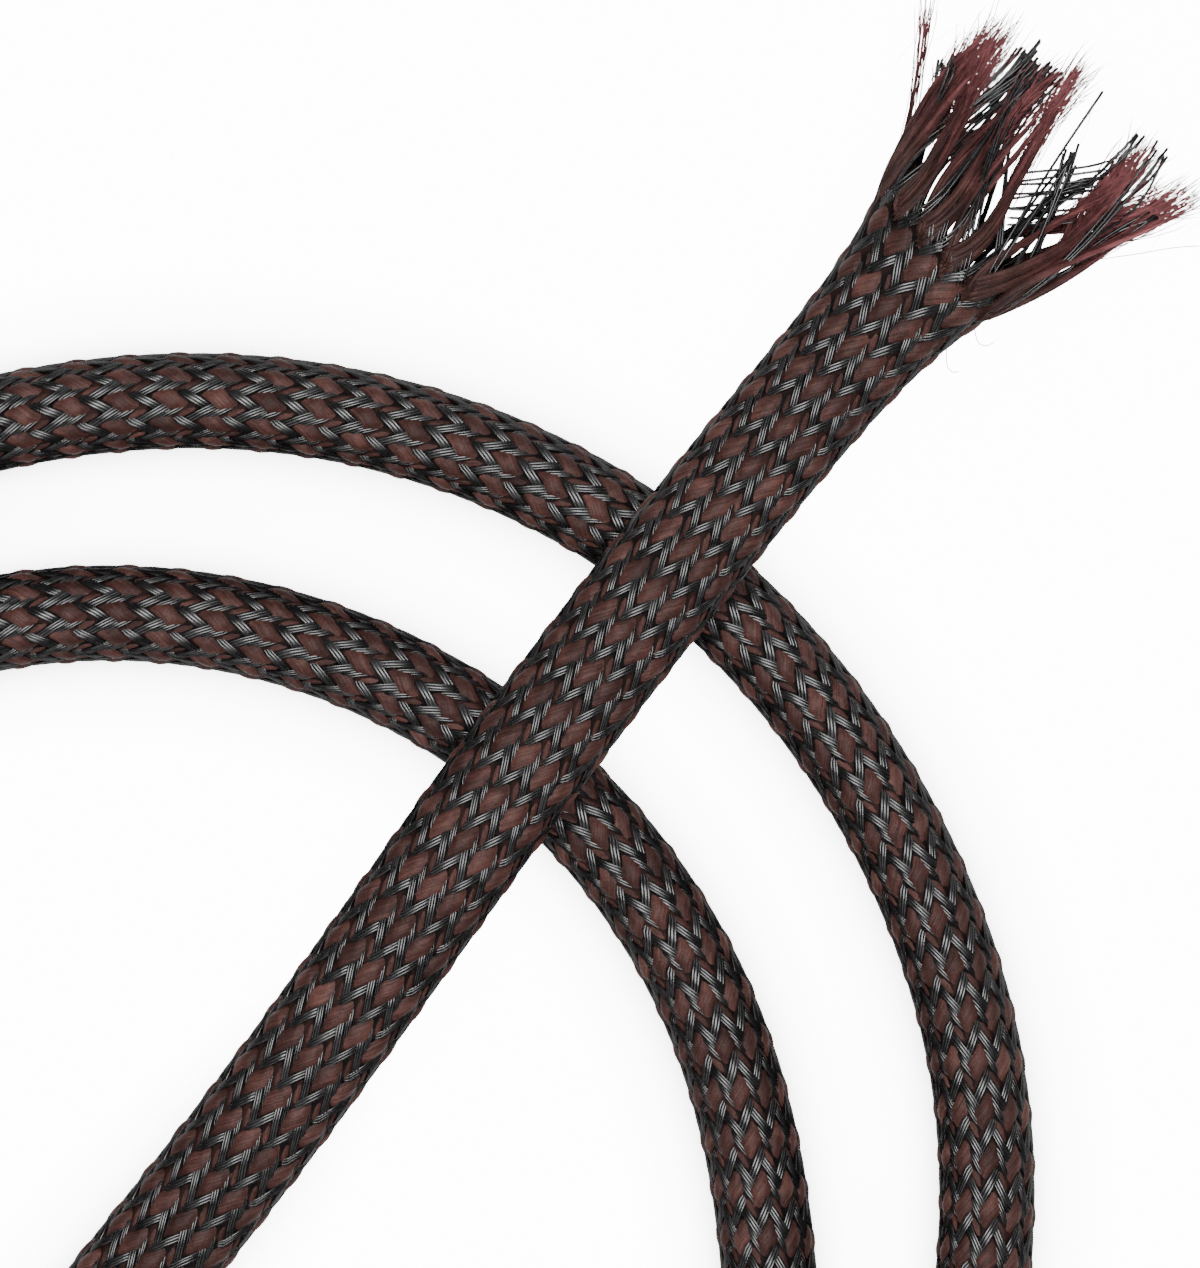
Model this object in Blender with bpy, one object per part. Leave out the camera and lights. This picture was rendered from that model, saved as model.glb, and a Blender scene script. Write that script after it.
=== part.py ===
"""Braided cable sleeve: a cut length of hollow braid, lying loose on a level floor.

The sleeve lies in two loose turns. One end is drawn straight across the top of the turns, where it
is pressed a little flat, and its mouth is frayed open into tufts. The other end is cut square. The
braid itself is finer than this model: its wall is one plain skin here.
"""

import math

import bmesh
import bpy
import numpy as np
from mathutils import Matrix, Vector

# Driving sizes in metres. A distance called FROM_MOUTH is measured along the sleeve's middle line.
CUT_LENGTH = 1.000
ROUND_WIDTH = 0.0084
TAIL_WIDTH = 0.0108
TAIL_HEIGHT = 0.0076
MOUTH_WIDTH = 0.0152
MOUTH_HEIGHT = 0.0102
WALL = 0.0008
FLARE_LENGTH = 0.026
FLATTENED_FROM_MOUTH = 0.118
ROUNDING_LENGTH = 0.050
LAY_GAP = 0.0003
RAISED_FROM_MOUTH = 0.063
RAMP_LENGTH = 0.068
TUFT_LENGTH = 0.0185
TUFT_SPREAD = 0.0035

# A tuft's shape, step by step: how much of its length and spread it has reached, and how much of its
# width at the mouth is left.
TUFT_STEPS = ((0.5, 0.35, 0.72), (1.0, 1.0, 0.34))

# How finely the sleeve is divided
SECTION_SIDES = 12
RING_SPACING = 0.0105
MOUTH_RING_SPACING = 0.0045
CURVE_SAMPLES_PER_SPAN = 24
SHARP_ANGLE = 50.0

# The faces of the mouth that carry a tuft, by the angle of the middle of each pair, in degrees.
# 0 is the sleeve's right seen from the mouth, and 90 is its top.
TUFT_ANGLES = (75.0, 165.0, 255.0, 345.0)

BROWN_YARN = (0.085, 0.036, 0.031, 1.0)
YARN_ROUGHNESS = 0.55

# Where the sleeve's middle line runs, from the mouth to past the cut end, in millimetres on the
# floor. The middle of the outline lies at the origin.
ROUTE_MM = (
    (83.3, 6.4), (68.4, 7.0), (53.4, 7.3), (38.5, 7.2), (23.6, 6.8), (8.6, 6.1),
    (-6.3, 5.4), (-21.2, 5.1), (-36.3, 5.1), (-51.3, 3.8), (-65.0, -1.3), (-75.5, -11.2),
    (-81.1, -24.7), (-80.7, -39.6), (-74.3, -53.1), (-63.1, -62.7), (-49.2, -66.8), (-34.8, -65.0),
    (-21.5, -58.3), (-9.3, -49.3), (2.2, -39.6), (12.6, -28.9), (20.6, -16.4), (25.1, -2.3),
    (25.8, 12.6), (22.6, 27.1), (15.7, 40.4), (5.5, 51.4), (-7.3, 59.1), (-21.6, 62.3),
    (-36.1, 60.2), (-49.3, 53.6), (-60.6, 43.7), (-69.7, 31.8), (-76.9, 18.7), (-82.7, 4.9),
    (-87.4, -9.4), (-90.3, -24.1), (-90.0, -38.9), (-85.4, -52.9), (-76.3, -64.6), (-63.9, -72.7),
    (-49.6, -76.0), (-35.0, -74.6), (-20.9, -69.7), (-7.1, -63.6), (6.5, -57.4), (19.3, -49.8),
    (30.2, -39.9), (38.7, -27.6), (44.5, -13.8), (47.4, 0.8), (47.0, 15.7), (43.3, 30.1),
    (36.6, 43.4), (27.2, 55.0), (15.7, 64.6), (2.5, 71.7), (-11.8, 75.4), (-26.6, 75.3),
    (-40.9, 71.5), (-54.1, 64.4), (-65.8, 55.0), (-75.9, 44.0), (-84.3, 31.6), (-90.9, 18.3),
    (-95.5, 4.1), (-98.0, -10.6), (-98.7, -25.6),
)


def smooth_step(value):
    """Goes from 0 to 1 with level ends."""
    value = min(max(value, 0.0), 1.0)
    return value * value * (3.0 - 2.0 * value)


def spline_slopes(values, knots):
    """The slopes at the knots of the natural cubic spline through the values."""
    count = len(knots)
    matrix = np.zeros((count, count))
    target = np.zeros(count)
    gaps = np.diff(knots)
    rises = np.diff(values) / gaps
    matrix[0, 0:2] = (2.0, 1.0)
    target[0] = 3.0 * rises[0]
    matrix[-1, -2:] = (1.0, 2.0)
    target[-1] = 3.0 * rises[-1]
    for i in range(1, count - 1):
        matrix[i, i - 1] = gaps[i]
        matrix[i, i] = 2.0 * (gaps[i - 1] + gaps[i])
        matrix[i, i + 1] = gaps[i - 1]
        target[i] = 3.0 * (gaps[i] * rises[i - 1] + gaps[i - 1] * rises[i])
    return np.linalg.solve(matrix, target)


def smooth_route():
    """The smooth line through the route's points, as fine points and their distance from the mouth."""
    points = np.array(ROUTE_MM) * 0.001
    knots = np.concatenate(([0.0], np.cumsum(np.linalg.norm(np.diff(points, axis=0), axis=1))))
    slopes = np.stack([spline_slopes(points[:, axis], knots) for axis in (0, 1)], axis=1)
    fine = []
    for i in range(len(points) - 1):
        gap = knots[i + 1] - knots[i]
        for t in np.linspace(0.0, 1.0, CURVE_SAMPLES_PER_SPAN, endpoint=False):
            start = (1.0 + 2.0 * t) * (1.0 - t) ** 2 * points[i] + t * (1.0 - t) ** 2 * gap * slopes[i]
            end = t * t * (3.0 - 2.0 * t) * points[i + 1] + t * t * (t - 1.0) * gap * slopes[i + 1]
            fine.append(start + end)
    fine.append(points[-1])
    fine = np.array(fine)
    distance = np.concatenate(([0.0], np.cumsum(np.linalg.norm(np.diff(fine, axis=0), axis=1))))
    return fine, distance


FINE_POINTS, FINE_DISTANCE = smooth_route()


def floor_point(distance):
    """The route's point on the floor at a distance from the mouth. Past its end it runs on straight."""
    over = max(distance - FINE_DISTANCE[-1], 0.0)
    along = min(max(distance, 0.0), FINE_DISTANCE[-1])
    point = np.array([np.interp(along, FINE_DISTANCE, FINE_POINTS[:, axis]) for axis in (0, 1)])
    last = FINE_POINTS[-1] - FINE_POINTS[-2]
    return point + over * last / np.linalg.norm(last)


def section_size(distance):
    """The sleeve's width and height at a distance from the mouth."""
    roundness = smooth_step((distance - FLATTENED_FROM_MOUTH) / ROUNDING_LENGTH)
    width = TAIL_WIDTH + (ROUND_WIDTH - TAIL_WIDTH) * roundness
    height = TAIL_HEIGHT + (ROUND_WIDTH - TAIL_HEIGHT) * roundness
    flare = max(1.0 - distance / FLARE_LENGTH, 0.0) ** 4
    return width + (MOUTH_WIDTH - TAIL_WIDTH) * flare, height + (MOUTH_HEIGHT - TAIL_HEIGHT) * flare


def lift(distance):
    """How far the sleeve's underside is above the floor: over both turns, then down beside them."""
    down = smooth_step((distance - RAISED_FROM_MOUTH) / RAMP_LENGTH)
    return (ROUND_WIDTH + LAY_GAP) * (1.0 - down)


def middle_point(distance):
    """The middle line's point in space. The flare opens about the drawn-out end's own middle."""
    x, y = floor_point(distance)
    flare = max(1.0 - distance / FLARE_LENGTH, 0.0) ** 4
    half_height = section_size(distance)[1] / 2 - (MOUTH_HEIGHT - TAIL_HEIGHT) * flare / 2
    return Vector((x, y, lift(distance) + half_height))


def section_matrix(distance, inset=0.0):
    """Places a circle of radius 1 as the sleeve's section, with a flat of the outline at the bottom.

    The inset draws the section in from the sleeve's outside, by the wall for its bore.
    """
    step = 0.0005
    ahead = middle_point(distance + step)
    behind = middle_point(max(distance - step, 0.0))
    tangent = (ahead - behind).normalized()
    side = Vector((0.0, 0.0, 1.0)).cross(tangent).normalized()
    up = tangent.cross(side)
    place = Matrix.Translation(middle_point(distance)) @ Matrix((side, up, tangent)).transposed().to_4x4()
    width, height = section_size(distance)
    to_flats = 1.0 / math.cos(math.pi / SECTION_SIDES)
    half_width = (width / 2 - inset) * to_flats
    half_height = (height / 2 - inset) * to_flats
    size = Matrix.Diagonal((half_width, half_height, 1.0, 1.0))
    return place @ size @ Matrix.Rotation(math.pi / SECTION_SIDES, 4, "Z")


def ring_distances():
    """Where the rings are: close together in the flare and evenly spaced after it."""
    flare_rings = max(round(FLARE_LENGTH / MOUTH_RING_SPACING), 2)
    rest_rings = max(round((CUT_LENGTH - FLARE_LENGTH) / RING_SPACING), 2)
    flare = np.linspace(0.0, FLARE_LENGTH, flare_rings, endpoint=False)
    return list(flare) + list(np.linspace(FLARE_LENGTH, CUT_LENGTH, rest_rings + 1))


def add_ring(bm, distance, inset=0.0):
    """Adds the section's outline at a distance from the mouth, and gives back its edges."""
    verts = bmesh.ops.create_circle(
        bm, segments=SECTION_SIDES, radius=1.0, matrix=section_matrix(distance, inset))["verts"]
    return list({edge for vert in verts for edge in vert.link_edges})


def draw_in_rim(bm, ring, distance):
    """Draws an end's outer edge in to its bore, and gives back the bore's edges and the rim's faces."""
    made = bmesh.ops.extrude_edge_only(bm, edges=ring)["geom"]
    verts = {item for item in made if isinstance(item, bmesh.types.BMVert)}
    inward = section_matrix(distance, WALL) @ section_matrix(distance).inverted()
    bmesh.ops.transform(bm, matrix=inward, verts=list(verts))
    edges = [item for item in made if isinstance(item, bmesh.types.BMEdge) and set(item.verts) <= verts]
    return edges, list({face for vert in verts for face in vert.link_faces})


def tuft_faces(rim_faces, angle):
    """The pair of the mouth's rim faces whose middle lies at the angle, in degrees."""
    to_section = section_matrix(0.0).inverted()
    chosen = []
    for face in rim_faces:
        local = to_section @ face.calc_center_median()
        face_angle = math.degrees(math.atan2(local.y, local.x)) + 180.0 / SECTION_SIDES
        if abs((face_angle - angle + 180.0) % 360.0 - 180.0) < 360.0 / SECTION_SIDES:
            chosen.append(face)
    return chosen


def add_tuft(bm, faces):
    """Draws a pair of the mouth's rim faces out into a tapering tuft that leans outward."""
    forward = -section_matrix(0.0).to_3x3().col[2].normalized()
    start = sum((face.calc_center_median() for face in faces), Vector()) / len(faces)
    outward = start - middle_point(0.0)
    outward = (outward - outward.project(forward)).normalized()
    middle_now = start
    width_now = 1.0
    for length_share, spread_share, width_share in TUFT_STEPS:
        made = bmesh.ops.extrude_face_region(bm, geom=faces)["geom"]
        bmesh.ops.delete(bm, geom=faces, context="FACES")
        faces = [item for item in made if isinstance(item, bmesh.types.BMFace)]
        middle = start + forward * TUFT_LENGTH * length_share + outward * TUFT_SPREAD * spread_share
        for vert in {vert for face in faces for vert in face.verts}:
            vert.co = middle + (vert.co - middle_now) * (width_share / width_now)
        middle_now = middle
        width_now = width_share


def build_sleeve():
    """The sleeve: its outside and its bore from ring to ring, its two ends, and the mouth's tufts."""
    bm = bmesh.new()
    distances = ring_distances()
    outside = [add_ring(bm, distance) for distance in distances]
    mouth_bore, mouth_rim = draw_in_rim(bm, outside[0], distances[0])
    cut_bore, cut_rim = draw_in_rim(bm, outside[-1], distances[-1])
    bore = [mouth_bore] + [add_ring(bm, distance, WALL) for distance in distances[1:-1]] + [cut_bore]
    for rings in (outside, bore):
        for near, far in zip(rings, rings[1:]):
            bmesh.ops.bridge_loops(bm, edges=near + far)
    for pair in [tuft_faces(mouth_rim, angle) for angle in TUFT_ANGLES]:
        add_tuft(bm, pair)

    bmesh.ops.recalc_face_normals(bm, faces=bm.faces)
    mesh = bpy.data.meshes.new("braided_sleeve")
    bm.to_mesh(mesh)
    bm.free()
    mesh.shade_smooth()
    mesh.set_sharp_from_angle(angle=math.radians(SHARP_ANGLE))
    mesh.materials.append(braid_material())
    sleeve = bpy.data.objects.new("braided_sleeve", mesh)
    bpy.context.scene.collection.objects.link(sleeve)
    return sleeve


def braid_material():
    """Dark red-brown textile yarn, as the braid looks from a distance."""
    material = bpy.data.materials.new("braid")
    material.use_nodes = True
    shader = material.node_tree.nodes["Principled BSDF"]
    shader.inputs["Base Color"].default_value = BROWN_YARN
    shader.inputs["Roughness"].default_value = YARN_ROUGHNESS
    shader.inputs["Metallic"].default_value = 0.0
    return material


for old in list(bpy.data.objects):
    bpy.data.objects.remove(old, do_unlink=True)
build_sleeve()
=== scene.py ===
"""A braided cable sleeve: its yarns, its frayed mouth, the floor, the light and the camera."""

import math

import bmesh
import bpy
import numpy as np
from mathutils import Matrix, Vector


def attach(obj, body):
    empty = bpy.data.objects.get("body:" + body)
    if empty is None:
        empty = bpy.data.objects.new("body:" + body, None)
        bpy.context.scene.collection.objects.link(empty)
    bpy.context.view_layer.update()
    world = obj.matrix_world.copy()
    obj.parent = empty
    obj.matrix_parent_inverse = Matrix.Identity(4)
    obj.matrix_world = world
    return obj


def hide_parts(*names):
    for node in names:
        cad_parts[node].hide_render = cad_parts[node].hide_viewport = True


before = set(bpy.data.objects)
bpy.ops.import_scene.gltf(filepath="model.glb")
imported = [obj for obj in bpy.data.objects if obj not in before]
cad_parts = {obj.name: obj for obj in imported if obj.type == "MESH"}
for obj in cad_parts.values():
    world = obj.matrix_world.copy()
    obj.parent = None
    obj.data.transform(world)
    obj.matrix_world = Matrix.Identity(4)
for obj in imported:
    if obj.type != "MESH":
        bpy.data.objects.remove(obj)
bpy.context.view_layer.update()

BODY = "root"
CAD_NODE = "braided_sleeve"

# The sleeve's sizes in metres, as its solid has them
CUT_LENGTH = 1.000
ROUND_WIDTH = 0.0084
TAIL_WIDTH = 0.0108
TAIL_HEIGHT = 0.0076
MOUTH_WIDTH = 0.0152
MOUTH_HEIGHT = 0.0102
WALL = 0.0008
FLARE_LENGTH = 0.026
FLATTENED_FROM_MOUTH = 0.118
ROUNDING_LENGTH = 0.050
LAY_GAP = 0.0003
RAISED_FROM_MOUTH = 0.063
RAMP_LENGTH = 0.068
CURVE_SAMPLES_PER_SPAN = 24

# The sleeve's middle line on the floor, in metres, from the mouth to past the cut end
ROUTE = np.array((
    (83.3, 6.4), (68.4, 7.0), (53.4, 7.3), (38.5, 7.2), (23.6, 6.8), (8.6, 6.1),
    (-6.3, 5.4), (-21.2, 5.1), (-36.3, 5.1), (-51.3, 3.8), (-65.0, -1.3), (-75.5, -11.2),
    (-81.1, -24.7), (-80.7, -39.6), (-74.3, -53.1), (-63.1, -62.7), (-49.2, -66.8), (-34.8, -65.0),
    (-21.5, -58.3), (-9.3, -49.3), (2.2, -39.6), (12.6, -28.9), (20.6, -16.4), (25.1, -2.3),
    (25.8, 12.6), (22.6, 27.1), (15.7, 40.4), (5.5, 51.4), (-7.3, 59.1), (-21.6, 62.3),
    (-36.1, 60.2), (-49.3, 53.6), (-60.6, 43.7), (-69.7, 31.8), (-76.9, 18.7), (-82.7, 4.9),
    (-87.4, -9.4), (-90.3, -24.1), (-90.0, -38.9), (-85.4, -52.9), (-76.3, -64.6), (-63.9, -72.7),
    (-49.6, -76.0), (-35.0, -74.6), (-20.9, -69.7), (-7.1, -63.6), (6.5, -57.4), (19.3, -49.8),
    (30.2, -39.9), (38.7, -27.6), (44.5, -13.8), (47.4, 0.8), (47.0, 15.7), (43.3, 30.1),
    (36.6, 43.4), (27.2, 55.0), (15.7, 64.6), (2.5, 71.7), (-11.8, 75.4), (-26.6, 75.3),
    (-40.9, 71.5), (-54.1, 64.4), (-65.8, 55.0), (-75.9, 44.0), (-84.3, 31.6), (-90.9, 18.3),
    (-95.5, 4.1), (-98.0, -10.6), (-98.7, -25.6),
)) * 0.001

# The picture: its size in pixels, the metres that one pixel covers at the sleeve's level, and the
# direction in it, right and up, that the straight end points in
PICTURE = (1200.0, 1268.0)
METRES_PER_PIXEL = 0.0000866
TAIL_DIRECTION_IN_PICTURE = (0.6225, 0.7826)
VIEW_CENTRE = (0.03881, 0.00859)
VIEW_LEVEL = 0.008
CAMERA_HEIGHT = 1.2

# How white the floor looks to the camera, and how far from the sleeve its painted shadow reaches
FLOOR_GLOW = 13.0
SHADOW_REACH = 0.008

# The braid: how many pairs of yarn columns lie round the sleeve, and how long one row of it is
COLUMNS = 12
ROW_ON_TAIL = 0.0045
ROW_ON_TURNS = 0.00428
ROW_CHANGES_FROM = 0.110
ROW_CHANGE_LENGTH = 0.040

# The rows lie aslant across the sleeve, by this slope, up to its square cut end
ROW_TILT = math.tan(math.radians(8.4))
TILT_FADES_OVER = 0.020

# How far the columns are evened out round the flattened end, and crowded to the sides on the
# turns, and the columns that the strands pass over in their first row, counted from the top
EVENING = 0.19
CROWDING_ON_TURNS = -0.09
RISING_COLUMN = -0.047
FALLING_COLUMN = 0.453

# Added to the wall's place round the sleeve on its inner side, which is painted lighter, with less
# shade, than its outer side
INSIDE_SHIFT = 10.0 * COLUMNS

# The middle of the two layers of yarn lies this far inside the sleeve's outside
LAYER_DEPTH = 0.00025
UNDER_DEPTH = 0.00020


def smooth_step(value):
    """Goes from 0 to 1 with level ends."""
    value = np.clip(value, 0.0, 1.0)
    return value * value * (3.0 - 2.0 * value)


def spline_slopes(values, knots):
    """The slopes at the knots of the natural cubic spline through the values."""
    count = len(knots)
    matrix = np.zeros((count, count))
    target = np.zeros(count)
    gaps = np.diff(knots)
    rises = np.diff(values) / gaps
    matrix[0, 0:2] = (2.0, 1.0)
    target[0] = 3.0 * rises[0]
    matrix[-1, -2:] = (1.0, 2.0)
    target[-1] = 3.0 * rises[-1]
    for i in range(1, count - 1):
        matrix[i, i - 1] = gaps[i]
        matrix[i, i] = 2.0 * (gaps[i - 1] + gaps[i])
        matrix[i, i + 1] = gaps[i - 1]
        target[i] = 3.0 * (gaps[i] * rises[i - 1] + gaps[i - 1] * rises[i])
    return np.linalg.solve(matrix, target)


def smooth_route():
    """Fine points on the smooth line through the route, and their distances from the mouth."""
    knots = np.concatenate(([0.0], np.cumsum(np.linalg.norm(np.diff(ROUTE, axis=0), axis=1))))
    slopes = np.stack([spline_slopes(ROUTE[:, axis], knots) for axis in (0, 1)], axis=1)
    fine = []
    for i in range(len(ROUTE) - 1):
        gap = knots[i + 1] - knots[i]
        t = np.linspace(0.0, 1.0, CURVE_SAMPLES_PER_SPAN, endpoint=False)[:, None]
        start = (1.0 + 2.0 * t) * (1.0 - t) ** 2 * ROUTE[i] + t * (1.0 - t) ** 2 * gap * slopes[i]
        end = t * t * (3.0 - 2.0 * t) * ROUTE[i + 1] + t * t * (t - 1.0) * gap * slopes[i + 1]
        fine.append(start + end)
    fine = np.concatenate(fine + [ROUTE[-1:]])
    distance = np.concatenate(([0.0], np.cumsum(np.linalg.norm(np.diff(fine, axis=0), axis=1))))
    return fine, distance


FINE_POINTS, FINE_DISTANCE = smooth_route()


def flare_share(distance):
    """How far the mouth's flare has opened at a distance from the mouth, from 0 to 1."""
    return np.clip(1.0 - distance / FLARE_LENGTH, 0.0, 1.0) ** 4


def section_size(distance):
    """The sleeve's width and height at a distance from the mouth."""
    roundness = smooth_step((distance - FLATTENED_FROM_MOUTH) / ROUNDING_LENGTH)
    width = TAIL_WIDTH + (ROUND_WIDTH - TAIL_WIDTH) * roundness
    height = TAIL_HEIGHT + (ROUND_WIDTH - TAIL_HEIGHT) * roundness
    flare = flare_share(distance)
    return width + (MOUTH_WIDTH - TAIL_WIDTH) * flare, height + (MOUTH_HEIGHT - TAIL_HEIGHT) * flare


def middle_points(distance):
    """The middle line's points in space at the distances from the mouth."""
    flat = np.stack(
        [np.interp(distance, FINE_DISTANCE, FINE_POINTS[:, axis]) for axis in (0, 1)], axis=-1)
    down = smooth_step((distance - RAISED_FROM_MOUTH) / RAMP_LENGTH)
    lift = (ROUND_WIDTH + LAY_GAP) * (1.0 - down)
    flare_height = (MOUTH_HEIGHT - TAIL_HEIGHT) * flare_share(distance)
    half_height = (section_size(distance)[1] - flare_height) / 2
    return np.concatenate([flat, (lift + half_height)[..., None]], axis=-1)


# The line's places and directions, read once at even steps, and the braid's rows along it
LINE_STEP = 0.0005
LINE_PAST_CUT_END = 0.0099
LINE_AT = np.arange(0.0, CUT_LENGTH + LINE_PAST_CUT_END, LINE_STEP)
LINE_POINTS = middle_points(LINE_AT)
LINE_TANGENTS = np.gradient(LINE_POINTS, axis=0)
LINE_TANGENTS /= np.linalg.norm(LINE_TANGENTS, axis=1, keepdims=True)
LINE_SIDES = np.stack([-LINE_TANGENTS[:, 1], LINE_TANGENTS[:, 0], 0.0 * LINE_AT], axis=1)
LINE_SIDES /= np.linalg.norm(LINE_SIDES, axis=1, keepdims=True)
LINE_UPS = np.cross(LINE_TANGENTS, LINE_SIDES)


def on_turn(distance):
    """How far the braid has changed from its look on the straight end to that on the turns."""
    return smooth_step((distance - ROW_CHANGES_FROM) / ROW_CHANGE_LENGTH)


def row_length(distance):
    """How long one row of the braid is at a distance from the mouth."""
    return ROW_ON_TAIL + (ROW_ON_TURNS - ROW_ON_TAIL) * on_turn(distance)


LINE_ROWS = np.concatenate(([0.0], np.cumsum(LINE_STEP / row_length(LINE_AT[:-1] + LINE_STEP / 2))))
LAST_ROW = float(np.interp(CUT_LENGTH, LINE_AT, LINE_ROWS))


def along_line(values, distance):
    """Reads rows of values, known at LINE_AT, at any distances."""
    return np.stack([np.interp(distance, LINE_AT, values[:, axis]) for axis in (0, 1, 2)], axis=-1)


def on_sleeve(rows, columns, height):
    """Points by row and by column round from the top, lifted off the middle of the two layers."""
    distance = np.where(rows < 0.0, rows * ROW_ON_TAIL, np.interp(rows, LINE_ROWS, LINE_AT))
    inside = np.clip(distance, 0.0, CUT_LENGTH)
    width, tall = section_size(inside)
    half_width = width / 2 - LAYER_DEPTH
    half_height = tall / 2 - LAYER_DEPTH
    even = math.pi / 2 - 2.0 * math.pi * columns / COLUMNS
    flatness = (half_width ** 2 - half_height ** 2) / (half_width ** 2 + half_height ** 2)
    angle = even + (flatness * EVENING + on_turn(inside) * CROWDING_ON_TURNS) * np.sin(2.0 * even)
    across = half_width * np.cos(angle)
    upward = half_height * np.sin(angle)
    normal = np.stack([np.cos(angle) / half_width, np.sin(angle) / half_height], axis=-1)
    normal /= np.linalg.norm(normal, axis=-1, keepdims=True)
    tilted = distance + ROW_TILT * across * smooth_step((CUT_LENGTH - distance) / TILT_FADES_OVER)
    points = along_line(LINE_POINTS, tilted)
    points += along_line(LINE_SIDES, tilted) * (across + height * normal[..., 0])[..., None]
    points += along_line(LINE_UPS, tilted) * (upward + height * normal[..., 1])[..., None]
    points += np.minimum(tilted, 0.0)[..., None] * LINE_TANGENTS[0]
    return points


def dress(piece, material):
    """Gives a piece its finish, and its place in the frame."""
    piece.data.materials.append(material)
    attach(piece, BODY)


def add_node(tree, kind, inputs=None, **settings):
    """A new node in a tree. Its inputs are set to values, or joined to other nodes' outputs."""
    node = tree.nodes.new(kind)
    for name, value in settings.items():
        setattr(node, name, value)
    for socket, value in (inputs or {}).items():
        if isinstance(value, bpy.types.NodeSocket):
            tree.links.new(value, node.inputs[socket])
        else:
            node.inputs[socket].default_value = value
    return node


def maths(tree, operation, *values):
    return add_node(tree, "ShaderNodeMath", dict(enumerate(values)), operation=operation).outputs[0]


def rescale(tree, value, low, high, to_low, to_high):
    return add_node(tree, "ShaderNodeMapRange", {
        0: value, 1: low, 2: high, 3: to_low, 4: to_high}).outputs[0]


def noise(tree, place, scale, detail=2.0, roughness=0.5):
    return add_node(tree, "ShaderNodeTexNoise", {
        "Vector": place, "Scale": scale, "Detail": detail, "Roughness": roughness}).outputs[0]


def weigh(tree, first, first_share, second, second_share):
    """Two values added together, each times its share."""
    return maths(tree, "ADD", maths(tree, "MULTIPLY", first, first_share),
                 maths(tree, "MULTIPLY", second, second_share))


def sway(tree, amount, value, share):
    """An amount moved up or down by a value that lies round a half."""
    return maths(tree, "ADD", amount, maths(
        tree, "MULTIPLY", maths(tree, "SUBTRACT", value, 0.5), share))


def combine(tree, x, y, z=0.0):
    return add_node(tree, "ShaderNodeCombineXYZ", {0: x, 1: y, 2: z}).outputs[0]


def blend(tree, amount, stops):
    """A colour that goes through the stops, each a place and a colour."""
    ramp = add_node(tree, "ShaderNodeValToRGB", {0: amount})
    elements = ramp.color_ramp.elements
    while len(elements) < len(stops):
        elements.new(0.5)
    for element, (place, colour) in zip(elements, stops):
        element.position = place
        element.color = (*colour, 1.0)
    return ramp.outputs[0]


# The tones of the yarns, from dark to light, and how fine their patterns are, as noise scales for
# places in metres
BROWN = ((0.0085, 0.0028, 0.0023), (0.0330, 0.0120, 0.0098), (0.1080, 0.0450, 0.0370))
WORN_BROWN = ((0.0160, 0.0034, 0.0038), (0.0640, 0.0150, 0.0165), (0.2400, 0.0820, 0.0850))
BLACK_STOPS = (
    (0.40, (0.0022, 0.0020, 0.0022)), (0.56, (0.0050, 0.0046, 0.0050)),
    (0.75, (0.0180, 0.0150, 0.0150)))
# The wall's tones are painted shade: near-black and dark brown for the shaded yarns below the
# braid.
PAINTED_SHADE_WALL_STOPS = (
    (0.15, (0.002, 0.0015, 0.0015)), (0.40, (0.007, 0.0035, 0.003)),
    (0.60, (0.020, 0.008, 0.0065)), (0.95, (0.110, 0.047, 0.038)))
PATCH_SCALE = 420.0
DUST_SCALE = 900.0
SPECK_SCALE = 5200.0
WHOLE_TURN = 6.2832


def fibre_lines_group():
    """The fine lines of a yarn's fibres, and how its tone wanders along it."""
    group = bpy.data.node_groups.new("fibre_lines", "ShaderNodeTree")
    for name in ("Along", "Across", "Lines"):
        group.interface.new_socket(name, in_out="INPUT", socket_type="NodeSocketFloat")
    for name in ("Line", "Tone"):
        group.interface.new_socket(name, in_out="OUTPUT", socket_type="NodeSocketFloat")
    given = group.nodes.new("NodeGroupInput").outputs
    whose = maths(group, "FLOOR", given["Across"])
    sideways = maths(group, "MULTIPLY", given["Across"], given["Lines"])
    coarse = noise(group, combine(group, maths(group, "MULTIPLY", given["Along"], 1.3), sideways,
                                  maths(group, "MULTIPLY", whose, 3.7)), 1.0, 3.0, 0.6)
    fine = noise(group, combine(group, maths(group, "MULTIPLY", given["Along"], 3.1),
                                maths(group, "MULTIPLY", sideways, 3.3), whose), 1.0, 2.0, 0.5)
    line = weigh(group, coarse, 0.6, fine, 0.4)
    tone = noise(group, combine(group, maths(group, "MULTIPLY", given["Along"], 1.9),
                                maths(group, "MULTIPLY", whose, 5.17), 0.5), 1.0, 1.0, 0.5)
    result = group.nodes.new("NodeGroupOutput")
    group.links.new(line, result.inputs["Line"])
    group.links.new(tone, result.inputs["Tone"])
    return group


def start_material(name, group, lines):
    """A new material, its shader, and what its colour is made from.

    That is the place along the yarn, in centimetres, and the number of the yarn with the place
    across it, then the place in space, and the fibre lines.
    """
    material = bpy.data.materials.new(name)
    material.use_nodes = True
    tree = material.node_tree
    shader = tree.nodes["Principled BSDF"]
    coordinates = add_node(tree, "ShaderNodeUVMap", uv_map="yarn").outputs[0]
    yarn = add_node(tree, "ShaderNodeSeparateXYZ", {0: coordinates})
    place = add_node(tree, "ShaderNodeTexCoord").outputs["Object"]
    fibres = add_node(tree, "ShaderNodeGroup", node_tree=group)
    tree.links.new(yarn.outputs[0], fibres.inputs["Along"])
    tree.links.new(yarn.outputs[1], fibres.inputs["Across"])
    fibres.inputs["Lines"].default_value = lines
    return material, tree, shader, yarn.outputs, place, fibres.outputs


def add_relief(tree, shader, height, distance, strength):
    bump = add_node(tree, "ShaderNodeBump", {
        "Height": height, "Distance": distance, "Strength": strength})
    tree.links.new(bump.outputs[0], shader.inputs["Normal"])


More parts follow.
